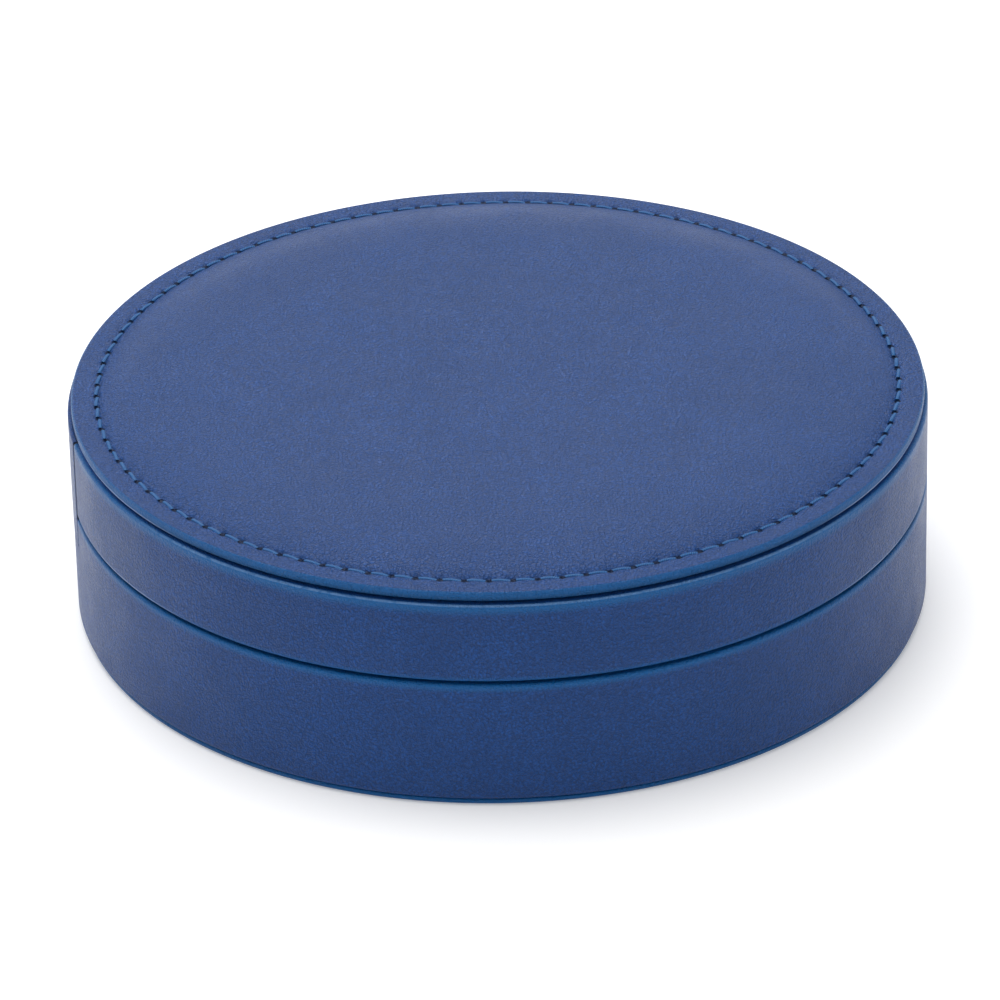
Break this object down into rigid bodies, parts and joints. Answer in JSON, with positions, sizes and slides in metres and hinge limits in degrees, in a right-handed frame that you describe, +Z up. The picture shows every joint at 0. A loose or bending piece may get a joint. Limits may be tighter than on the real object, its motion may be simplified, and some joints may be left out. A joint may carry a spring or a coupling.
{
  "type": "round leather jewellery case",
  "caption": "Round drum-shaped leather jewellery case: padded stitched lid on a leather hinge strip, velvet-lined base with compartments, ring rolls and a mirror in the lid.",
  "frame": {"origin": "centre of the underside, on the surface that the case stands on", "axes": "+Z up through the lid; +Y towards the hinge; -Y is the front edge, where the lid is lifted"},
  "size_m": [0.15, 0.15, 0.0432],
  "materials": {
    "case_leather": "fine-grained satin",
    "stitch_thread": "twisted polyester thread",
    "lining_velvet": "short-pile velvet",
    "grey_board": "plain pressed board",
    "foam": "soft foam",
    "magnet_steel": "plated",
    "mirror": "silvered glass"
  },
  "bodies": {
    "base": {"base_bottom_cover": "case_leather", "base_board": "grey_board", "base_wall_core": "grey_board", "base_side_leather": "case_leather", "neck_board": "grey_board", "neck_velvet": "lining_velvet", "floor_foam": "foam", "floor_velvet": "lining_velvet", "divider_left": "lining_velvet", "divider_right": "lining_velvet", "divider_front": "lining_velvet", "divider_cross_left": "lining_velvet", "divider_cross_right": "lining_velvet", "ring_roll_1": "lining_velvet", "ring_roll_2": "lining_velvet", "ring_roll_3": "lining_velvet", "ring_roll_4": "lining_velvet", "ring_roll_5": "lining_velvet", "ring_roll_6": "lining_velvet", "base_magnet_left": "magnet_steel", "base_magnet_right": "magnet_steel", "hinge_strip_lower": "case_leather"},
    "lid": {"lid_wall_core": "grey_board", "lid_side_leather": "case_leather", "lid_top_board": "grey_board", "lid_panel_backing": "grey_board", "lid_panel_foam": "foam", "lid_top_leather": "case_leather", "lid_stitch_thread": "stitch_thread", "lid_wall_lining": "lining_velvet", "lid_ceiling_velvet": "lining_velvet", "mirror_glass": "mirror", "mirror_frame": "lining_velvet", "lid_magnet_left": "magnet_steel", "lid_magnet_right": "magnet_steel", "hinge_strip_upper": "case_leather"}
  },
  "joints": [
    {"name": "lid_hinge", "type": "hinge", "parent": "base", "child": "lid", "pos_m": [0, 0.0753, 0.0236], "axis": [-1, 0, 0], "range_deg": [0, 179]}
  ]
}
